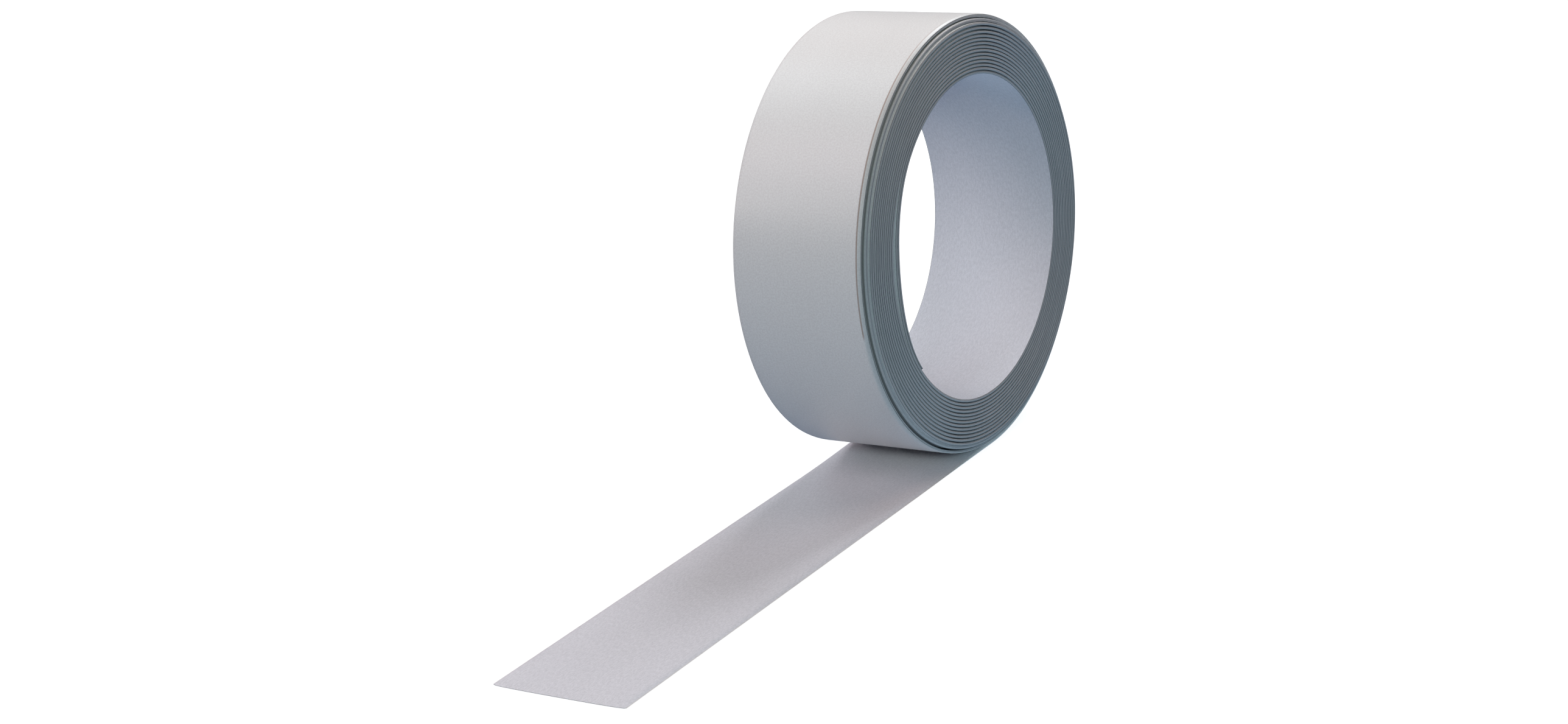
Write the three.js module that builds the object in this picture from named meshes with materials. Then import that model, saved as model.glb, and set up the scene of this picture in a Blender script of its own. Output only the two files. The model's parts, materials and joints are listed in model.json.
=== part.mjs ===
// A coreless roll of flexible magnetic tape, stood on its rim with a tail pulled off along the floor.
// Millimetres, +Z up. The roll's axis lies along X, the tail runs towards -Y, and the floor is z = 0.
// The tape is a laminate of three layers: a white face film outside, a dark magnet strip in the
// middle and a pale release liner inside. Each layer is its own solid in each of three lengths:
// the flat tail, the slack outer wrap that grows out of it, and the wound coil inside the wrap.
import * as THREE from "three";

// Driving dimensions of the tape
const TAPE_WIDTH = 35;
const FILM_THICKNESS = 0.09;
const STRIP_THICKNESS = 0.33;
const LINER_THICKNESS = 0.08;

// Driving dimensions of the roll
const BORE_RADIUS = 39.8;
const FULL_TURNS = 14;
const INNER_END_ANGLE = 297;
const TURN_GAP = 0.38;
const TAIL_LENGTH = 161;

// How far the roll can be rolled back up its own tail, and the air that the turning coil needs
const ROLL_UP_TRAVEL = 130;
const RUNNING_GAP = 0.1;
const WRAP_SLACK = 0.2;
const SEAM_GAP = 0.3;

// Hand-wound unevenness: the outer wrap sits back from the coil's near face, and the last two
// turns spring inwards beside the cut inner end
const WRAP_SETBACK = 1.2;
const SETBACK_DRIFT_START = 270;
const SETBACK_DRIFT_END = 450;
const SPRUNG_TURNS = 2;
const SPRUNG_DEPTH = 1.1;
const SPRUNG_MIDDLE_ANGLE = 268;
const SPRUNG_HALF_ANGLE = 45;

// Where the slack wrap draws in to the coil, and where the coil's lifted outer end settles
const DRAW_IN_START_ANGLE = 300;
const LIFT_ANGLE = 60;

// Facets in one turn of the coil and of the outer wrap
const COIL_STEPS = 22;
const WRAP_STEPS = 46;

// Sizes that follow from those above
const TURN = 360;
const tapeThickness = FILM_THICKNESS + STRIP_THICKNESS + LINER_THICKNESS;
const pitch = tapeThickness + TURN_GAP;
const coilStepAngle = TURN / COIL_STEPS;
const coilStepCount = FULL_TURNS * COIL_STEPS + Math.round(INNER_END_ANGLE / coilStepAngle);
const coilAngle = coilStepCount * coilStepAngle;
const coilRadius = BORE_RADIUS + tapeThickness + (pitch * coilAngle) / TURN;

// Turning the coil by the full travel swells it by a share of the pitch, and a facet of the wrap
// dips below its own circle; the coil's outer end and the wrap are lifted clear of both
const facetDip = coilRadius * (1 - Math.cos(Math.PI / WRAP_STEPS));
const coilSwell = (pitch * ROLL_UP_TRAVEL) / (2 * Math.PI * coilRadius);
const endLift = Math.max(0, coilSwell + facetDip + RUNNING_GAP - TURN_GAP);
const wrapGap = endLift + facetDip + RUNNING_GAP + WRAP_SLACK;
const wrapRadius = coilRadius + wrapGap + tapeThickness;
const seamAngle = THREE.MathUtils.radToDeg(SEAM_GAP / coilRadius);

// The part stands with the middle of its outline over the origin
const rollY = (TAIL_LENGTH - wrapRadius) / 2;

// The three layers, each from its depth under the tape's outer face to the next layer's
const layers = [
  {
    name: "face_film",
    from: 0,
    to: FILM_THICKNESS,
    material: { color: 0xe6e3e2, roughness: 0.42, metalness: 0 },
  },
  {
    name: "magnet_strip",
    from: FILM_THICKNESS,
    to: FILM_THICKNESS + STRIP_THICKNESS,
    material: { color: 0x4e575f, roughness: 0.7, metalness: 0.05 },
  },
  {
    name: "release_liner",
    from: FILM_THICKNESS + STRIP_THICKNESS,
    to: tapeThickness,
    material: { color: 0xcfced6, roughness: 0.8, metalness: 0 },
  },
];

// The tape's middle along the axis, after a given angle wound on from the floor line
function axialPlace(angle) {
  const drift = THREE.MathUtils.smoothstep(angle, SETBACK_DRIFT_START, SETBACK_DRIFT_END);
  return WRAP_SETBACK * (drift - 0.5);
}

// Radius of the wrap's outer face: round, then drawn in to the height of the coil's outer end
function wrapFace(angle) {
  const drawnIn = THREE.MathUtils.smoothstep(angle, DRAW_IN_START_ANGLE, TURN);
  return THREE.MathUtils.lerp(wrapRadius, coilRadius + endLift, drawnIn);
}

// Radius of the coil's outer face: a plain spiral, lifted at its outer end and sprung at its inner one
function coilFace(angle) {
  const lift = endLift * (1 - THREE.MathUtils.smoothstep(angle, 0, LIFT_ANGLE));
  const inTurn = angle % TURN;
  const aside = Math.min(1, Math.abs(inTurn - SPRUNG_MIDDLE_ANGLE) / SPRUNG_HALF_ANGLE);
  const isSprung = angle >= (FULL_TURNS + 1 - SPRUNG_TURNS) * TURN;
  const spring = isSprung ? SPRUNG_DEPTH * (1 - THREE.MathUtils.smoothstep(aside, 0, 1)) : 0;
  return coilRadius - (pitch * angle) / TURN + lift - spring;
}

// Stations along a wound length: the angle from the floor line, the face radius and the axial place
function stationsOf(stepCount, stepAngle, faceRadius, angleBefore) {
  return Array.from({ length: stepCount + 1 }, (_, step) => {
    const angle = step * stepAngle;
    return { angle, radius: faceRadius(angle), middle: axialPlace(angleBefore + angle) };
  });
}

// The four corners of a layer's section at a station: outer left, outer right, inner right, inner left
function sectionCorners(station, layer) {
  const turned = THREE.MathUtils.degToRad(station.angle);
  const corner = (side, depth) => [
    station.middle + (side * TAPE_WIDTH) / 2,
    (station.radius - depth) * Math.sin(turned),
    -(station.radius - depth) * Math.cos(turned),
  ];
  return [corner(-1, layer.from), corner(1, layer.from), corner(1, layer.to), corner(-1, layer.to)];
}

// One layer of a wound length as a closed strip. Neighbouring layers split their shared faces along
// the same diagonals, so bonded layers meet face to face.
function woundStrip(stations, layer) {
  const corners = 4;
  const position = stations.flatMap((station) => sectionCorners(station, layer).flat());
  const index = [];
  for (let step = 0; step < stations.length - 1; step += 1) {
    const [a, b, c, d] = [0, 1, 2, 3].map((corner) => step * corners + corner);
    const [nextA, nextB, nextC, nextD] = [a, b, c, d].map((corner) => corner + corners);
    index.push(a, nextA, nextB, a, nextB, b);
    index.push(d, nextC, nextD, d, c, nextC);
    index.push(c, b, nextB, c, nextB, nextC);
    index.push(d, nextA, a, d, nextD, nextA);
  }
  const last = (stations.length - 1) * corners;
  index.push(0, 1, 2, 0, 2, 3);
  index.push(last, last + 2, last + 1, last, last + 3, last + 2);
  const geometry = new THREE.BufferGeometry();
  geometry.setAttribute("position", new THREE.Float32BufferAttribute(position, 3));
  geometry.setIndex(index);
  geometry.computeVertexNormals();
  return geometry;
}

// A layer's least gap to itself: from each point of its inner face, and each middle of a facet, to
// the facet of its outer face one turn further in
function leastSelfGap(stations, layer) {
  const faceLine = (depth) =>
    stations.map((station) => {
      const turned = THREE.MathUtils.degToRad(station.angle);
      const radius = station.radius - depth;
      return new THREE.Vector3(0, radius * Math.sin(turned), -radius * Math.cos(turned));
    });
  const outer = faceLine(layer.from);
  const inner = faceLine(layer.to);
  const chord = new THREE.Line3();
  const nearest = new THREE.Vector3();
  let least = Infinity;
  for (let step = 0; step + COIL_STEPS + 1 < stations.length; step += 1) {
    const middle = inner[step].clone().lerp(inner[step + 1], 0.5);
    chord.set(outer[step + COIL_STEPS], outer[step + COIL_STEPS + 1]);
    for (const point of [inner[step], middle, inner[step + 1]]) {
      chord.closestPointToPoint(point, true, nearest);
      least = Math.min(least, nearest.distanceTo(point));
    }
  }
  return least;
}

// A layer of the flat tail, lying film side down and ending a seam's gap before the wrap
function tailLayer(layer) {
  const length = TAIL_LENGTH - SEAM_GAP;
  const geometry = new THREE.BoxGeometry(TAPE_WIDTH, length, layer.to - layer.from);
  geometry.translate(axialPlace(0), -SEAM_GAP - length / 2, (layer.from + layer.to) / 2);
  return geometry;
}

// A named mesh in its layer's finish
function piece(length, layer, geometry) {
  const mesh = new THREE.Mesh(geometry, new THREE.MeshStandardMaterial(layer.material));
  mesh.name = `${length}_${layer.name}`;
  return mesh;
}

const wrapStepAngle = (TURN - seamAngle) / WRAP_STEPS;
const wrapStations = stationsOf(WRAP_STEPS, wrapStepAngle, wrapFace, 0);
const coilStations = stationsOf(coilStepCount, coilStepAngle, coilFace, TURN);

const tail = new THREE.Group();
tail.add(...layers.map((layer) => piece("tail", layer, tailLayer(layer))));

const roll = new THREE.Group();
roll.position.z = wrapRadius;
roll.add(...layers.map((layer) => piece("wrap", layer, woundStrip(wrapStations, layer))));
roll.add(...layers.map((layer) => piece("coil", layer, woundStrip(coilStations, layer))));

for (const layer of layers) {
  const gap = leastSelfGap(coilStations, layer);
  console.log(`coil_${layer.name}: least gap to itself ${gap.toFixed(3)} mm`);
}
console.log(`roll ${(2 * wrapRadius).toFixed(2)} mm across, wrap gap ${wrapGap.toFixed(3)} mm`);

const tapeRoll = new THREE.Group();
tapeRoll.position.y = rollY;
tapeRoll.add(tail, roll);

export default tapeRoll;
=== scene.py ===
# %% [markdown]
# # A roll of magnetic tape
#
# The object is one long ribbon, wound on itself without a core and stood on its rim, with a tail
# pulled off along the floor. The ribbon is a laminate: a white film outside, a dark magnet strip in
# the middle and a pale liner inside. This lesson draws all of it from a single winding rule, dresses
# the three layers, and lights them like a studio photograph.
#
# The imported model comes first. It is a fixed frame: it says where each length of tape is and how it
# moves, and nothing in it is shifted here.

# %% Load the frame
import json
import math

import bpy
from mathutils import Matrix, Vector


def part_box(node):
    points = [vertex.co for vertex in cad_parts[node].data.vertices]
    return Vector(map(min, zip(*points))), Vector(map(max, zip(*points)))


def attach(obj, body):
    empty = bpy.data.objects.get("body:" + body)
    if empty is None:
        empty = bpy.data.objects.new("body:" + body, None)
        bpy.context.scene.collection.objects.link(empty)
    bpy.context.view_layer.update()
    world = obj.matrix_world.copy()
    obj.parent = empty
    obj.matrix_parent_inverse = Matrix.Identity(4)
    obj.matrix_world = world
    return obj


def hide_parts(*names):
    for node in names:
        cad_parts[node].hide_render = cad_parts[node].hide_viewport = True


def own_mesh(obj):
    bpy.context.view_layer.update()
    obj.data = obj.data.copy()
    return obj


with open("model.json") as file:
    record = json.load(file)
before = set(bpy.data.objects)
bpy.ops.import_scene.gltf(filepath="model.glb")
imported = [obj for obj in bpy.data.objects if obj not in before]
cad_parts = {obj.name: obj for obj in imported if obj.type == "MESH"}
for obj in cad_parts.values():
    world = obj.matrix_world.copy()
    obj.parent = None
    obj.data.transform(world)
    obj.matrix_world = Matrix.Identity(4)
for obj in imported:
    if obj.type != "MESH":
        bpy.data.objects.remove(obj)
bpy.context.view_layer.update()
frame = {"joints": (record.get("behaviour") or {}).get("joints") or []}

MM = 0.001

# %% [markdown]
# ## The camera
#
# The photograph looks slightly down on the roll from its front right, and it leans by a few degrees.
# A camera could be tracked to a target, but the lean would be lost, so its three axes are written
# down instead: back towards the lens, right and up, turned about the line of sight.

# %% Camera
CAMERA_TARGET = Vector((0.0, -10.7, 41.8)) * MM
CAMERA_DISTANCE = 664.6 * MM
CAMERA_AZIMUTH = math.radians(34.12)
CAMERA_ELEVATION = math.radians(18.19)
CAMERA_LEAN = math.radians(-6.4)
CAMERA_LENS_MM = 65.5
CAMERA_SENSOR_MM = 36.0


def add_camera():
    level, climb = math.cos(CAMERA_ELEVATION), math.sin(CAMERA_ELEVATION)
    back = Vector((level * math.sin(CAMERA_AZIMUTH), -level * math.cos(CAMERA_AZIMUTH), climb))
    right = Vector((math.cos(CAMERA_AZIMUTH), math.sin(CAMERA_AZIMUTH), 0.0))
    up = back.cross(right)
    lean_right = right * math.cos(CAMERA_LEAN) + up * math.sin(CAMERA_LEAN)
    lean_up = up * math.cos(CAMERA_LEAN) - right * math.sin(CAMERA_LEAN)
    camera = bpy.data.objects.new("studio_camera", bpy.data.cameras.new("studio_camera"))
    camera.data.lens = CAMERA_LENS_MM
    camera.data.sensor_width = CAMERA_SENSOR_MM
    camera.data.sensor_fit = "HORIZONTAL"
    axes = Matrix((lean_right, lean_up, back)).transposed().to_4x4()
    camera.matrix_world = Matrix.Translation(CAMERA_TARGET + back * CAMERA_DISTANCE) @ axes
    bpy.context.scene.collection.objects.link(camera)
    bpy.context.scene.camera = camera
    return camera


camera = add_camera()
print("camera at mm:", [round(place / MM) for place in camera.matrix_world.translation])

# %% [markdown]
# ## Sizes
#
# The width of the tape, the depth of each layer under its outer face, the roll's radius and its axis
# are all read from the frame. What the boxes cannot tell, such as the pitch of the turns, is a named
# value, in the same numbers as the solids.

# %% Measure the frame
LAYERS = ("face_film", "magnet_strip", "release_liner")
layer_depths = {layer: tuple(corner.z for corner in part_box(f"tail_{layer}")) for layer in LAYERS}
tail_low, tail_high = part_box("tail_face_film")
wrap_low, wrap_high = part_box("wrap_face_film")
joints = {joint["name"]: joint for joint in frame["joints"]}

tape_width = tail_high.x - tail_low.x
tape_thickness = layer_depths["release_liner"][1]
wrap_radius = (wrap_high.z - wrap_low.z) / 2
roll_y = joints["coil_turn"]["pos_m"][1]
tail_length = roll_y - tail_low.y
tail_middle = (tail_low.x + tail_high.x) / 2
print(f"tape {tape_width / MM:.1f} x {tape_thickness / MM:.2f} mm, roll {2 * wrap_radius / MM:.1f} mm across,"
      f" tail {tail_length / MM:.1f} mm")

# %% Sizes of the winding
BORE_RADIUS = 39.8 * MM
TURN_GAP = 0.38 * MM
COIL_TURNS = 14.818

turn_pitch = tape_thickness + TURN_GAP
coil_radius = BORE_RADIUS + tape_thickness + turn_pitch * COIL_TURNS
print(f"coil {2 * coil_radius / MM:.1f} mm across in {COIL_TURNS} turns")

# %% [markdown]
# ## Expressions that grow nodes
#
# Node trees built by hand are hard to read. Here a small class wraps an output socket, so that
# `1 - mask * 0.3` adds the Math nodes it needs, and one method adds every other node: its settings
# are set first, because some of them change which sockets a node has, and its sockets after them.
# The other methods name what the winding and the finishes share: soft steps, noise and blends.

# %% Sockets as numbers
MIX_FACTOR, MIX_FIRST, MIX_SECOND, MIX_COLOUR = 0, 6, 7, 2
GRAIN_RANGE = (0.3, 0.7)


class Wire:
    """An output socket that takes part in Python arithmetic."""

    def __init__(self, graph, socket):
        self.graph = graph
        self.socket = socket

    def __add__(self, other):
        return self.graph.math("ADD", self, other)

    def __sub__(self, other):
        return self.graph.math("SUBTRACT", self, other)

    def __rsub__(self, other):
        return self.graph.math("SUBTRACT", other, self)

    def __mul__(self, other):
        return self.graph.math("MULTIPLY", self, other)

    def __truediv__(self, other):
        return self.graph.math("DIVIDE", self, other)

    def __pow__(self, other):
        return self.graph.math("POWER", self, other)

    def __abs__(self):
        return self.graph.math("ABSOLUTE", self)

    __radd__ = __add__
    __rmul__ = __mul__


class Graph:
    """A node tree that grows by expressions."""

    def __init__(self, tree):
        self.tree = tree

    def add(self, kind, settings=None, sockets=None, out=0):
        """Adds a node and returns its output; settings come before sockets."""
        node = self.tree.nodes.new(kind)
        for name, value in (settings or {}).items():
            setattr(node, name, value)
        for key, value in (sockets or {}).items():
            if isinstance(value, Wire):
                self.tree.links.new(value.socket, node.inputs[key])
            else:
                node.inputs[key].default_value = value
        return Wire(self, node.outputs[out]) if len(node.outputs) else node

    def math(self, operation, *terms):
        return self.add("ShaderNodeMath", {"operation": operation}, dict(enumerate(terms)))

    def smooth(self, value, low, high):
        """0 below low, 1 above high, and an easy S between them."""
        sockets = {"Value": value, "From Min": low, "From Max": high}
        return self.add("ShaderNodeMapRange", {"interpolation_type": "SMOOTHSTEP"}, sockets)

    def span(self, value, rise, fall):
        """0 before the rise, 1 between the rise and the fall, and 0 after the fall."""
        return self.smooth(value, *rise) * (1 - self.smooth(value, *fall))

    def split(self, vector):
        first = self.add("ShaderNodeSeparateXYZ", sockets={"Vector": vector})
        return [Wire(self, socket) for socket in first.socket.node.outputs]

    def join(self, x, y, z):
        return self.add("ShaderNodeCombineXYZ", sockets={"X": x, "Y": y, "Z": z})

    def noise(self, vector, scale, detail=2.0, stretch=(1.0, 1.0, 1.0)):
        placed = self.add("ShaderNodeMapping", sockets={"Vector": vector, "Scale": stretch})
        return self.add("ShaderNodeTexNoise", sockets={"Vector": placed, "Scale": scale, "Detail": detail})

    def grain(self, vector, **pattern):
        """Noise whose middle range is spread over 0 to 1."""
        return self.smooth(self.noise(vector, **pattern), *GRAIN_RANGE)

    def wander(self, along, scale):
        """Slow noise along a line, centred on 0."""
        sockets = {"W": along, "Scale": scale, "Detail": 1.0}
        return self.add("ShaderNodeTexNoise", {"noise_dimensions": "1D"}, sockets) - 0.5

    def blend(self, factor, first, second):
        """A mix of two colours."""
        sockets = {MIX_FACTOR: factor, MIX_FIRST: first, MIX_SECOND: second}
        return self.add("ShaderNodeMix", {"data_type": "RGBA"}, sockets, out=MIX_COLOUR)


print("helpers ready")

# %% [markdown]
# ## The finishes
#
# Each layer's finish reads an attribute that the winding rule leaves on the mesh: how far along the
# tape a point is, how far across it, and how deep in it, in metres. A pattern on it follows the
# ribbon round every turn, where a pattern on plain object coordinates would cut straight through.
# Lengths along the tape start at the floor line: the tail lies below 0, the outer wrap ends at
# 339 mm, and the second turn at about 680 mm.

# %% Helpers of the finishes
def colour(red, green, blue):
    """Linear colour of a value read off a screen, 0 to 255."""
    def linear(value):
        share = value / 255
        return share / 12.92 if share <= 0.04045 else ((share + 0.055) / 1.055) ** 2.4
    return (linear(red), linear(green), linear(blue), 1.0)


TAPE_PLACE = "tape_place"
RIM_WIDTH = 0.92 * MM
WRAP_END = (290 * MM, 339 * MM)

# Painted shade in the grooves between the turns: the slit edges of film and liner darkened, on the turns
# below the outer two
GROOVE_SHADE_TONE = colour(74, 72, 70)
GROOVE_SHADE_WIDTH = 0.09 * MM
GROOVE_SHADE_SHARE = 0.85
GROOVE_SHADE_START = (640 * MM, 700 * MM)


def new_finish(name, gloss):
    """A material with its graph, its Principled shader and the tape's own coordinates."""
    material = bpy.data.materials.new(name)
    material.use_nodes = True
    shader = material.node_tree.nodes["Principled BSDF"]
    shader.inputs["Specular IOR Level"].default_value = gloss
    graph = Graph(material.node_tree)
    place = graph.add("ShaderNodeAttribute", {"attribute_name": TAPE_PLACE}, out="Vector")
    return material, graph, shader, place


def weigh(shares, patterns):
    """The sum of patterns, each times its share."""
    return sum(pattern * share for share, pattern in zip(shares, patterns))


def dress(graph, shader, base, roughness, height, bump_depth):
    """Feeds the varying sockets of a finish."""
    bump = graph.add("ShaderNodeBump", sockets={"Height": height, "Distance": bump_depth, "Strength": 1.0})
    for name, wire in (("Base Color", base), ("Roughness", roughness), ("Normal", bump)):
        graph.tree.links.new(wire.socket, shader.inputs[name])


def slit_groove_shade(graph, place, base):
    """Darkens the cut edges of film and liner on the inner turns: painted shade in the grooves between them.
    """
    along, across, _ = graph.split(place)
    # Painted shade: a thin dark band along each cut edge, where the grooves between the turns lie
    at_edge = graph.smooth(abs(across), tape_width / 2 - GROOVE_SHADE_WIDTH, tape_width / 2 - GROOVE_SHADE_WIDTH / 3)
    groove_shaded = at_edge * graph.smooth(along, *GROOVE_SHADE_START) * GROOVE_SHADE_SHARE
    return graph.blend(groove_shaded, base, GROOVE_SHADE_TONE)


# %% [markdown]
# ### White film
#
# The outer face is a satin vinyl film: a warm white with a fine tooth, soft clouds where it was
# calendered, and edges that fingers have soiled. A brown crease runs along the outer wrap beside its
# near rim, and the turn below is painted grey next to the wrap's near edge: painted shade where that
# edge shades it. All of this could be painted on an image, but masks on the tape's own coordinates
# stay sharp and follow the turns by themselves.

# %% Satin white film
FILM_WHITES = (colour(234, 230, 229), colour(252, 250, 249))
FILM_GLOSS = 0.5
FILM_BUMP = 0.006 * MM
FILM_TOOTH = {"scale": 2400.0, "detail": 2.0}
FILM_CLOUDS = {"scale": 45.0, "detail": 3.0, "stretch": (0.35, 1.0, 1.0)}
FILM_STREAKS = {"scale": 900.0, "detail": 1.0, "stretch": (0.01, 1.0, 1.0)}

# Shares of tooth, clouds and streaks in the film's tone, roughness and relief
FILM_TONE_SHARES = (0.6, 0.3, 0.1)
FILM_SMOOTHEST = 0.3
FILM_ROUGHNESS_SHARES = (0.06, 0.08)
FILM_RELIEF_SHARES = (1.0, 0.4)

# Soil along both edges, thicker where the clouds are
SOIL_TONE = colour(196, 190, 186)
SOIL_WIDTH = 0.9 * MM
SOIL_LEAST = 0.05
SOIL_CLOUDED = 0.35

# The crease beside the near rim of the outer wrap
CREASE_TONE = colour(168, 132, 116)
CREASE_SHARE = 0.7
CREASE_WIDTH = 0.24 * MM
CREASE_START = (165 * MM, 205 * MM)
CREASE_END = (263 * MM, 265 * MM)

# Painted shade on the second turn beside the wrap's edge, by its distance from the near edge and its place
# along the tape
WRAP_EDGE_SHADE_TONE = colour(142, 137, 134)
WRAP_EDGE_SHADE_SHARE = 0.8
WRAP_EDGE_SHADE_FROM_EDGE = (0.4 * MM, 0.5 * MM)
WRAP_EDGE_SHADE_REACH = 1.6 * MM
WRAP_EDGE_SHADE_START = (345 * MM, 400 * MM)
WRAP_EDGE_SHADE_END = (640 * MM, 700 * MM)


def film_finish():
    material, graph, shader, place = new_finish("satin_white_film", FILM_GLOSS)
    along, across, _ = graph.split(place)
    from_near_edge = tape_width / 2 - across
    tooth = graph.grain(place, **FILM_TOOTH)
    clouds = graph.noise(place, **FILM_CLOUDS)
    streaks = graph.noise(place, **FILM_STREAKS)
    clean = graph.blend(weigh(FILM_TONE_SHARES, (tooth, clouds, streaks)), *FILM_WHITES)

    off_crease = graph.smooth(abs(from_near_edge - RIM_WIDTH), CREASE_WIDTH / 3, CREASE_WIDTH)
    creased = (1 - off_crease) * graph.span(along, CREASE_START, CREASE_END)
    marked = graph.blend(creased * CREASE_SHARE, clean, CREASE_TONE)

    # Painted shade: the second turn's film is greyed beside the outer wrap's edge, where that edge shades it
    within_reach = graph.math("LESS_THAN", from_near_edge, WRAP_EDGE_SHADE_REACH)
    in_band = graph.smooth(from_near_edge, *WRAP_EDGE_SHADE_FROM_EDGE) * within_reach
    wrap_edge_shade = in_band * graph.span(along, WRAP_EDGE_SHADE_START, WRAP_EDGE_SHADE_END)
    with_wrap_edge_shade = graph.blend(wrap_edge_shade * WRAP_EDGE_SHADE_SHARE, marked, WRAP_EDGE_SHADE_TONE)

    at_edge = graph.smooth(abs(across), tape_width / 2 - SOIL_WIDTH, tape_width / 2)
    soiled = graph.blend(at_edge * (SOIL_LEAST + clouds * SOIL_CLOUDED), with_wrap_edge_shade, SOIL_TONE)
    base = slit_groove_shade(graph, place, soiled)
    roughness = FILM_SMOOTHEST + weigh(FILM_ROUGHNESS_SHARES, (tooth, clouds))
    dress(graph, shader, base, roughness, weigh(FILM_RELIEF_SHARES, (tooth, streaks)), FILM_BUMP)
    return material


# %% [markdown]
# ### Release liner
#
# The inner face is a coated paper. It is a little lilac against the film, and matt, with short
# fibres that lie mostly along the web. Fibres could be strewn one by one; noise that is stretched
# along the tape gives the same look, because none of them is long enough to follow by eye.

# %% Lilac-grey liner
LINER_GREYS = (colour(215, 213, 219), colour(243, 241, 247))
LINER_GLOSS = 0.3
LINER_BUMP = 0.01 * MM
LINER_FIBRES = {"scale": 2200.0, "detail": 3.0, "stretch": (0.45, 1.0, 1.0)}
LINER_SPECKS = {"scale": 3600.0, "detail": 2.0}
LINER_CLOUDS = {"scale": 60.0, "detail": 3.0, "stretch": (0.6, 1.0, 1.0)}

# Shares of fibres, specks and clouds in the liner's tone, roughness and relief
LINER_TONE_SHARES = (0.4, 0.3, 0.3)
LINER_SMOOTHEST = 0.52
LINER_FIBRE_ROUGHNESS = 0.16
LINER_RELIEF_SHARES = (0.7, 0.3)


def liner_finish():
    material, graph, shader, place = new_finish("lilac_grey_liner", LINER_GLOSS)
    fibres = graph.grain(place, **LINER_FIBRES)
    specks = graph.grain(place, **LINER_SPECKS)
    clouds = graph.noise(place, **LINER_CLOUDS)
    paper = graph.blend(weigh(LINER_TONE_SHARES, (fibres, specks, clouds)), *LINER_GREYS)
    base = slit_groove_shade(graph, place, paper)
    roughness = LINER_SMOOTHEST + fibres * LINER_FIBRE_ROUGHNESS
    dress(graph, shader, base, roughness, weigh(LINER_RELIEF_SHARES, (fibres, specks)), LINER_BUMP)
    return material


# %% [markdown]
# ### Magnet strip
#
# Only the slit edges of the strip show. The knife leaves fine lines along the tape, and the ferrite
# in the rubber shows as lighter and darker grains. The strip's cut edge is paler on the wrap, and more
# so on the tail, and a dark line of painted shade lies under the wrap's film, where the film's lip
# shades the strip. Both are thinner than any edge of the mesh, so they are masks in one finish.

# %% Grey-brown magnet strip
RUBBER_TONES = (colour(152, 147, 149), colour(225, 217, 219))
RUBBER_GLOSS = 0.35
RUBBER_BUMP = 0.006 * MM
KNIFE_LINES = {"scale": 9000.0, "detail": 2.0, "stretch": (0.02, 1.0, 1.0)}
FERRITE_GRAINS = {"scale": 7000.0, "detail": 2.0}
RUBBER_LENGTHS = {"scale": 9.0, "detail": 2.0}

# Shares of knife lines, grains and lengths in the strip's tone, roughness and relief
RUBBER_TONE_SHARES = (0.45, 0.3, 0.25)
RUBBER_SMOOTHEST = 0.5
KNIFE_ROUGHNESS = 0.25
RUBBER_RELIEF_SHARES = (0.7, 0.3)

# The strip's cut edge made paler on the outer wrap, and more on the tail
PALE_EDGE_TONE = colour(240, 232, 228)
WRAP_EDGE_PALING = 0.25
TAIL_EDGE_PALING = 0.65
TAIL_EDGE_PALING_END = (10 * MM, 70 * MM)

# Painted shade: the dark line under the film's lip, by its depth in the strip
LIP_SHADE_TONE = colour(60, 56, 54)
LIP_SHADE_SHARE = 0.9
LIP_SHADE_DEPTH = (0.03 * MM, 0.09 * MM)
LIP_SHADE_START = (120 * MM, 170 * MM)


def strip_finish():
    material, graph, shader, place = new_finish("slit_magnet_strip", RUBBER_GLOSS)
    along, _, depth = graph.split(place)
    knife_lines = graph.noise(place, **KNIFE_LINES)
    grains = graph.noise(place, **FERRITE_GRAINS)
    lengths = graph.noise(place, **RUBBER_LENGTHS)
    rubber = graph.blend(weigh(RUBBER_TONE_SHARES, (knife_lines, grains, lengths)), *RUBBER_TONES)

    on_tail = 1 - graph.smooth(along, *TAIL_EDGE_PALING_END)
    to_wrap_end = 1 - graph.smooth(along, *WRAP_END)
    paled = graph.blend(to_wrap_end * WRAP_EDGE_PALING + on_tail * TAIL_EDGE_PALING, rubber, PALE_EDGE_TONE)

    # Painted shade under the outer wrap's film lip
    under_lip = 1 - graph.smooth(depth - layer_depths["magnet_strip"][0], *LIP_SHADE_DEPTH)
    lip_shade = under_lip * graph.span(along, LIP_SHADE_START, WRAP_END)
    base = graph.blend(lip_shade * LIP_SHADE_SHARE, paled, LIP_SHADE_TONE)
    roughness = RUBBER_SMOOTHEST + knife_lines * KNIFE_ROUGHNESS
    dress(graph, shader, base, roughness, weigh(RUBBER_RELIEF_SHARES, (knife_lines, grains)), RUBBER_BUMP)
    return material


finishes = {"face_film": film_finish(), "magnet_strip": strip_finish(), "release_liner": liner_finish()}
print("finishes:", [finish.name for finish in finishes.values()])

# %% [markdown]
# ## The winding rule
#
# A coil could be drawn as a stack of rings, but a real roll is one spiral, and its ends show. So one
# rule places every point of the tape by its turn, counted from the line where the roll meets the
# floor. Below zero the tape lies flat as the tail; up to one it is the slack outer wrap; after that
# the radius falls by one pitch a turn to the cut inner end, where the last two turns spring inwards.
#
# A hand-wound roll is uneven. Its outer turns sit back from the coil and swell a little, the wrap is
# pressed down along its near rim, and the tail is thin at its edges. The strip is drawn fuller than
# in the solids, which keep a gap between the turns; here the turns all but touch.
#
# The rule is a Geometry Nodes tree. It takes a box with many cuts along and across, reads each
# point's place in that box as turn, width and depth, and sets the point where the rule says. The
# same tree draws all nine layers, so that bonded layers meet exactly.

# %% Unevenness of the winding
# The outer wrap draws in to the coil over the rest of its turn, and the tape ends inside the bore
WRAP_DRAW_IN = (300 / 360, 1.0)
INNER_END = 15 + 306 / 360

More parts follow.
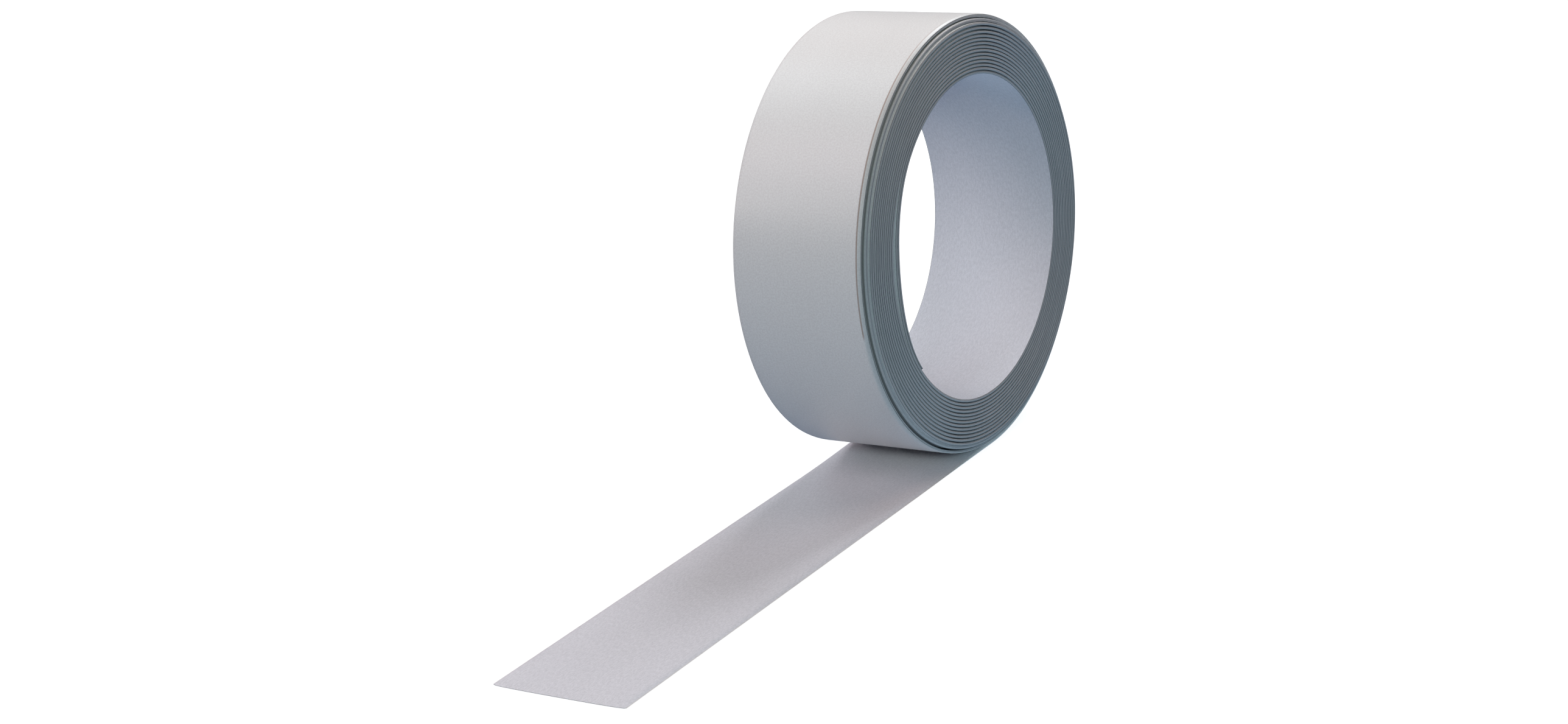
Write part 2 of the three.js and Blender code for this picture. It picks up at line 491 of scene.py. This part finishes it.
# The outer wrap sits back from the second turn, and that from the coil
WRAP_SETBACK = 1.25 * MM
SECOND_TURN_SETBACK = 0.6 * MM
FIRST_STEP = (0.75, 1.25)
SECOND_STEP = (1.85, 2.3)

# The coil wanders along the axis and across it, each in its own way
AXIAL_WANDER = 0.18 * MM
AXIAL_WANDER_SCALE = 1.7
AXIAL_WANDER_START = (1.2, 2.4)
RADIAL_WANDER = 0.12 * MM
RADIAL_WANDER_SCALE = 2.3
RADIAL_WANDER_START = (1.4, 2.4)
RADIAL_WANDER_SHIFT = 40.0

# The coil's outer turns swell all round, and more on their loose side
OUTER_SWELL = 0.14 * MM
OUTER_SWELL_END = (2.0, 6.0)
LOOSE_SWELL = 0.2 * MM
LOOSE_SWELL_END = (1.0, 5.0)
LOOSE_SIDE_START = (0.0, 0.25)
LOOSE_SIDE_END = (0.5, 0.6)

# The last two turns spring inwards beside the cut end
SPRUNG_TURN = 14.0
LAST_TURN = 15.0
SPRUNG_MIDDLE = 266 / 360
SPRUNG_HALF = 40 / 360
SPRUNG_OUTER = 1.28 * MM
SPRUNG_INNER = 1.32 * MM

# What the strip gains in depth, as a share of its depth in the solids
WRAP_FULLNESS = 1.3
WRAP_FULL_START = (-40 / 360, 0.0)
WOUND_FULLNESS = 0.75
WOUND_FULL_START = (1.0, 1.2)
SIDE_FULLNESS = 0.15
INNER_END_PINCH = 0.3
INNER_END_TAPER = 0.08

# The outer wrap's pressed near rim widens on its way round
RIM_DROP = 0.4 * MM
RIM_ROUNDING = 0.3
RIM_NARROWEST = 0.55
RIM_WIDENS = (0.5, 0.66)
RIM_START = (0.36, 0.52)
RIM_END = (WRAP_DRAW_IN[0], 0.95)

# Slit edges bulge, and roll over towards the film
SLIT_BULGE = 0.14 * MM
EDGE_ROLL_WIDTH = 0.6 * MM
EDGE_ROLL_DEPTH = 0.08 * MM
EDGE_ROLL_LOST = 0.7

# The tail is pressed thin at its edges, and its free end is bowed
TAIL_EDGE_WIDTH = 0.7 * MM
TAIL_EDGE_LOST = 0.75
TAIL_EDGE_FADE = (-40 / 360, -4 / 360)
FREE_END_BOW = 0.8 * MM


def axial_place(graph, turn):
    """The tape's middle along the axis: tail and wrap set back, the second turn halfway, the coil forward."""
    first_step = graph.smooth(turn, *FIRST_STEP) * (WRAP_SETBACK - SECOND_TURN_SETBACK)
    second_step = graph.smooth(turn, *SECOND_STEP) * SECOND_TURN_SETBACK
    wandering = graph.smooth(turn, *AXIAL_WANDER_START) * AXIAL_WANDER
    return first_step + second_step + graph.wander(turn, AXIAL_WANDER_SCALE) * wandering + tail_middle


def face_radius(graph, turn):
    """Radius of the tape's outer face."""
    spiral = coil_radius - graph.math("MAXIMUM", turn - 1, 0.0) * turn_pitch
    drawn_in = graph.smooth(turn, *WRAP_DRAW_IN)
    slack = (1 - drawn_in) * (wrap_radius - coil_radius)

    in_turn = graph.math("FRACT", turn)
    loose_side = graph.span(in_turn, LOOSE_SIDE_START, LOOSE_SIDE_END)
    loose_turns = graph.math("GREATER_THAN", turn, 1.0) * (1 - graph.smooth(turn, *LOOSE_SWELL_END))
    outer_turns = drawn_in * (1 - graph.smooth(turn, *OUTER_SWELL_END))
    swollen = outer_turns * OUTER_SWELL + loose_side * loose_turns * LOOSE_SWELL

    beside_end = 1 - graph.smooth(abs(in_turn - SPRUNG_MIDDLE), 0.0, SPRUNG_HALF)
    last_two = graph.math("GREATER_THAN", turn, SPRUNG_TURN)
    last_one = graph.math("GREATER_THAN", turn, LAST_TURN)
    spring = beside_end * (last_two * SPRUNG_OUTER + last_one * (SPRUNG_INNER - SPRUNG_OUTER))

    wandering = graph.smooth(turn, *RADIAL_WANDER_START) * RADIAL_WANDER
    uneven = graph.wander(turn + RADIAL_WANDER_SHIFT, RADIAL_WANDER_SCALE) * wandering
    return spiral + slack + swollen - spring + uneven


def pressed_depth(graph, turn, flat_depth, from_near_edge):
    """Depth of a point in the wound tape, with its fuller strip and the wrap's pressed rim."""
    film_depth, liner_depth = layer_depths["magnet_strip"]
    strip_thickness = liner_depth - film_depth
    in_strip = graph.add("ShaderNodeClamp", sockets={
        "Value": flat_depth - film_depth, "Min": 0.0, "Max": strip_thickness})
    wrap_part = graph.span(turn, WRAP_FULL_START, WRAP_DRAW_IN)
    upright = graph.math("SINE", turn * math.tau) ** 2.0
    wound_part = graph.smooth(turn, *WOUND_FULL_START) * (WOUND_FULLNESS + upright * SIDE_FULLNESS)
    at_end = graph.smooth(turn, INNER_END - INNER_END_TAPER, INNER_END)
    gained = wrap_part * WRAP_FULLNESS + wound_part - at_end * (WOUND_FULLNESS + INNER_END_PINCH)

    rim_width = RIM_WIDTH * (RIM_NARROWEST + graph.smooth(turn, *RIM_WIDENS) * (1 - RIM_NARROWEST))
    on_rim = graph.math("MAXIMUM", 1 - from_near_edge / rim_width, 0.0)
    rounded = on_rim * (1 + RIM_ROUNDING - on_rim * RIM_ROUNDING)
    drop = rounded * graph.span(turn, RIM_START, RIM_END) * rim_width * (RIM_DROP / RIM_WIDTH)
    over_liner = 1 - in_strip / strip_thickness
    return flat_depth + in_strip * gained + drop * over_liner


# %% Tree of the tape layer
TREE_INPUTS = (
    ("First Turn", "NodeSocketFloat"), ("Last Turn", "NodeSocketFloat"),
    ("Outer Depth", "NodeSocketFloat"), ("Inner Depth", "NodeSocketFloat"),
    ("Cuts Along", "NodeSocketInt"), ("Cuts Across", "NodeSocketInt"), ("Cuts Deep", "NodeSocketInt"),
    ("Bulge", "NodeSocketFloat"),
    ("Finish", "NodeSocketMaterial"),
)
CORNER_ANGLE = math.radians(40)
EDGE_CROWDING = 3.0


def tape_tree():
    tree = bpy.data.node_groups.new("tape_layer", "GeometryNodeTree")
    for name, kind in TREE_INPUTS:
        tree.interface.new_socket(name, in_out="INPUT", socket_type=kind)
    tree.interface.new_socket("Geometry", in_out="OUTPUT", socket_type="NodeSocketGeometry")
    graph = Graph(tree)
    first = graph.add("NodeGroupInput")
    given = {socket.name: Wire(graph, socket) for socket in first.socket.node.outputs}

    # The box, and each point's place in it
    bar = graph.add("GeometryNodeMeshCube", sockets={
        "Vertices X": given["Cuts Across"], "Vertices Y": given["Cuts Along"],
        "Vertices Z": given["Cuts Deep"]})
    side, run, level = graph.split(graph.add("GeometryNodeInputPosition"))
    turn = given["First Turn"] + (run + 0.5) * (given["Last Turn"] - given["First Turn"])
    flat_depth = given["Outer Depth"] + (level + 0.5) * (given["Inner Depth"] - given["Outer Depth"])

    # Across the tape, with cuts that crowd towards the slit edges
    from_edge = (1 - abs(side * 2)) ** EDGE_CROWDING * (tape_width / 2)
    edge_share = 1 - graph.smooth(from_edge, 0.0, EDGE_ROLL_WIDTH)
    round_edge = (1 - (level * 2) ** 2.0) * given["Bulge"]
    across = graph.math("SIGN", side) * (tape_width / 2 - from_edge + round_edge * edge_share)
    from_near_edge = tape_width / 2 - graph.math("SIGN", side) * (tape_width / 2 - from_edge)

    # Into the tape, with rolled slit edges and thin tail edges
    flat_run = graph.math("MINIMUM", turn, 0.0) * (math.tau * wrap_radius)
    rolled = graph.math("MAXIMUM", 1 - from_edge / EDGE_ROLL_WIDTH, 0.0) ** 2.0 * EDGE_ROLL_DEPTH
    wound_depth = pressed_depth(graph, turn, flat_depth, from_near_edge)
    square_depth = wound_depth + rolled * (1 - flat_depth * (EDGE_ROLL_LOST / tape_thickness))
    to_tail_edge = graph.math("MINIMUM", from_edge, flat_run + tail_length)
    thinned = (1 - graph.smooth(to_tail_edge, 0.0, TAIL_EDGE_WIDTH)) * TAIL_EDGE_LOST
    depth = square_depth * (1 - thinned * (1 - graph.smooth(turn, *TAIL_EDGE_FADE)))

    # Along the tape: flat up to the floor line, then round the axis
    angle = graph.math("MAXIMUM", turn, 0.0) * math.tau
    to_free_end = graph.smooth(-1 * flat_run, tail_length / 2, tail_length)
    bow = (1 - (side * 2) ** 2.0) * to_free_end * FREE_END_BOW
    reach = face_radius(graph, turn) - depth
    place = graph.join(axial_place(graph, turn) + across,
                       roll_y + flat_run - bow + reach * graph.math("SINE", angle),
                       wrap_radius - reach * graph.math("COSINE", angle))
    along = turn * math.tau * (wrap_radius - turn * (turn_pitch / 2))

    marked = graph.add("GeometryNodeStoreNamedAttribute", {"data_type": "FLOAT_VECTOR", "domain": "POINT"},
                       {"Geometry": bar, "Name": TAPE_PLACE, "Value": graph.join(along, across, flat_depth)})
    wound = graph.add("GeometryNodeSetPosition", sockets={"Geometry": marked, "Position": place})
    smooth_faces = graph.add("GeometryNodeSetShadeSmooth", {"domain": "FACE"}, {"Geometry": wound})
    corner = graph.add("FunctionNodeCompare", {"operation": "GREATER_THAN"},
                       {0: graph.add("GeometryNodeInputMeshEdgeAngle"), 1: CORNER_ANGLE})
    creased = graph.add("GeometryNodeSetShadeSmooth", {"domain": "EDGE"},
                        {"Geometry": smooth_faces, "Selection": corner, "Shade Smooth": False})
    real = graph.add("GeometryNodeRealizeInstances", sockets={"Geometry": creased})
    dressed = graph.add("GeometryNodeSetMaterial", sockets={"Geometry": real, "Material": given["Finish"]})
    graph.add("NodeGroupOutput", sockets={"Geometry": dressed})
    return tree


layer_tree = tape_tree()
print("tree of the tape layer:", len(layer_tree.nodes), "nodes")

# %% [markdown]
# ## The nine layers
#
# Each length of tape is a body of its own in the frame: the tail lies still, the outer wrap travels
# along it, and the coil turns inside the wrap. A layer of a length is therefore one piece. The tree
# could stay live on each piece, but a kit of parts needs plain meshes, so the tree is evaluated on an
# empty mesh, and its result becomes a mesh that stays at the origin.

# %% Make and place the layers
STEPS_PER_TURN = 144
STEPS_ACROSS = 15
WRAP_STEPS_ACROSS = 43
STRIP_STEPS_DEEP = 5
THIN_STEPS_DEEP = 2
TAIL_STEPS = 60
SEAM = 0.02 * MM

# Each length's body, first turn, last turn, steps along and cuts across
seam_turns = SEAM / (math.tau * wrap_radius)
tail_turns = tail_length / (math.tau * wrap_radius)
lengths = {
    "tail": ("tail", -tail_turns, -seam_turns, TAIL_STEPS, STEPS_ACROSS),
    "wrap": ("outer_wrap", 0.0, 1.0 - seam_turns, STEPS_PER_TURN, WRAP_STEPS_ACROSS),
    "coil": ("coil", 1.0, INNER_END, round(STEPS_PER_TURN * (INNER_END - 1)), STEPS_ACROSS),
}


def make_layer(name, values):
    """A piece wound by the tree, as a plain mesh."""
    source = bpy.data.objects.new(name + "_source", bpy.data.meshes.new(name + "_source"))
    bpy.context.scene.collection.objects.link(source)
    modifier = source.modifiers.new("winding", "NODES")
    modifier.node_group = layer_tree
    for item in layer_tree.interface.items_tree:
        if item.in_out == "INPUT":
            modifier[item.identifier] = values[item.name]
    evaluated = source.evaluated_get(bpy.context.evaluated_depsgraph_get())
    mesh = bpy.data.meshes.new_from_object(evaluated)
    mesh.name = name
    bpy.data.objects.remove(source)
    piece = bpy.data.objects.new(name, mesh)
    bpy.context.scene.collection.objects.link(piece)
    return piece


travel = joints["roll_travel"]["range_m"][1]
tail_kept = 1 - travel / (tail_length - SEAM)
for length, (body, first_turn, last_turn, steps, cuts_across) in lengths.items():
    for layer in LAYERS:
        outer_depth, inner_depth = layer_depths[layer]
        is_strip = layer == "magnet_strip"
        piece = make_layer(f"tape_{length}_{layer}", {
            "First Turn": first_turn, "Last Turn": last_turn,
            "Outer Depth": outer_depth, "Inner Depth": inner_depth,
            "Cuts Along": steps + 1, "Cuts Across": cuts_across,
            "Cuts Deep": STRIP_STEPS_DEEP if is_strip else THIN_STEPS_DEEP,
            "Bulge": SLIT_BULGE if is_strip else 0.0,
            "Finish": finishes[layer]})
        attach(piece, body)
        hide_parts(f"{length}_{layer}")
        if length == "tail":
            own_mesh(piece)
        print(piece.name, len(piece.data.polygons), "faces")

# %% [markdown]
# ## The studio
#
# The roll was photographed in soft light and cut out on white. Most of the light comes from behind
# and from the left, so the tail darkens towards the roll. A cool fill from the right front shows the
# slit edges, and a little blue light from below reaches the top of the bore. One big softbox would
# give the shadow but not the bright bore, so eight small lights share the work.
#
# The floor is plain and pale. It shines with its own light, so that it stays white beside the roll,
# and it is hidden from bounced light and casts no shadow: a white table would brighten the roll's
# underside too much, and the lowest panel shines up through it.

# %% Floor
FLOOR_SIZE = 40.0
FLOOR_BELOW = 0.05 * MM
FLOOR_TONE = (0.3, 0.3, 0.3, 1.0)
FLOOR_ROUGHNESS = 0.9
FLOOR_NEAR_GLOW = (0.89, 0.89, 0.89, 1.0)
FLOOR_FAR_GLOW = (1.0, 1.0, 1.0, 1.0)
FLOOR_FADE = (0.15, 0.6)


def add_floor():
    half = FLOOR_SIZE / 2
    mesh = bpy.data.meshes.new("pale_floor")
    corners = [(-half, -half, -FLOOR_BELOW), (half, -half, -FLOOR_BELOW),
               (half, half, -FLOOR_BELOW), (-half, half, -FLOOR_BELOW)]
    mesh.from_pydata(corners, [], [(0, 1, 2, 3)])
    floor = bpy.data.objects.new("pale_floor", mesh)
    bpy.context.scene.collection.objects.link(floor)
    material = bpy.data.materials.new("pale_floor")
    material.use_nodes = True
    shader = material.node_tree.nodes["Principled BSDF"]
    graph = Graph(material.node_tree)
    place = graph.add("ShaderNodeTexCoord", out="Object")
    distance = graph.add("ShaderNodeVectorMath", {"operation": "LENGTH"}, {0: place}, out="Value")
    glow = graph.blend(graph.smooth(distance, *FLOOR_FADE), FLOOR_NEAR_GLOW, FLOOR_FAR_GLOW)
    graph.tree.links.new(glow.socket, shader.inputs["Emission Color"])
    shader.inputs["Base Color"].default_value = FLOOR_TONE
    shader.inputs["Roughness"].default_value = FLOOR_ROUGHNESS
    shader.inputs["Specular IOR Level"].default_value = 0.0
    shader.inputs["Emission Strength"].default_value = 1.0
    mesh.materials.append(material)
    floor.visible_diffuse = False
    floor.visible_glossy = False
    floor.visible_shadow = False
    return floor


floor = add_floor()
print(floor.name, FLOOR_SIZE, "m wide")

# %% Lights
LIGHT_TARGET = Vector((0.0, 0.0, 0.05))

# Each light's name, place, width, power in watts and tint
SOFTBOXES = (
    ("back_softbox", (0.0, 0.71, 0.76), 0.45, 4.6, (0.92, 0.92, 1.0)),
    ("near_back_panel", (0.0, 0.3, 0.4), 0.3, 0.24, (0.84, 1.0, 0.8)),
    ("left_softbox", (-0.5, -0.5, 0.76), 0.45, 2.7, (1.0, 0.87, 0.89)),
    ("low_left_panel", (-0.656, -0.656, 0.425), 0.15, 1.4, (1.0, 0.9, 0.86)),
    ("near_left_panel", (-0.28, 0.05, 0.45), 0.25, 0.53, (0.84, 0.95, 1.0)),
    ("right_front_fill", (0.656, -0.656, 0.425), 0.15, 1.9, (0.73, 1.0, 0.98)),
    ("under_panel", (0.25, 0.35, -0.4), 0.3, 1.0, (0.6, 0.87, 1.0)),
    ("right_top_fill", (0.32, 0.19, 0.98), 0.45, 1.25, (1.0, 0.77, 0.71)),
)
WORLD_SKY = (0.0, 0.0, 0.0, 1.0)
WORLD_GROUND = (0.12, 0.18, 0.27, 1.0)
HORIZON_FADE = (-0.15, 0.15)


def add_softbox(name, place, width, power, tint):
    data = bpy.data.lights.new(name, "AREA")
    data.shape = "SQUARE"
    data.size = width
    data.energy = power
    data.color = tint
    lamp = bpy.data.objects.new(name, data)
    lamp.location = place
    lamp.rotation_mode = "QUATERNION"
    lamp.rotation_quaternion = (LIGHT_TARGET - Vector(place)).to_track_quat("-Z", "Y")
    bpy.context.scene.collection.objects.link(lamp)
    return lamp


def add_world():
    """A dark sky over a dim blue ground, which lights the roll's underside."""
    world = bpy.data.worlds.new("studio")
    world.use_nodes = True
    bpy.context.scene.world = world
    graph = Graph(world.node_tree)
    height = graph.split(graph.add("ShaderNodeTexCoord", out="Generated"))[2]
    shade = graph.blend(graph.smooth(height, *HORIZON_FADE), WORLD_GROUND, WORLD_SKY)
    graph.tree.links.new(shade.socket, world.node_tree.nodes["Background"].inputs["Color"])


lamps = [add_softbox(*softbox) for softbox in SOFTBOXES]
add_world()
bpy.context.scene.view_settings.view_transform = "Standard"
print("lights:", [lamp.name for lamp in lamps])
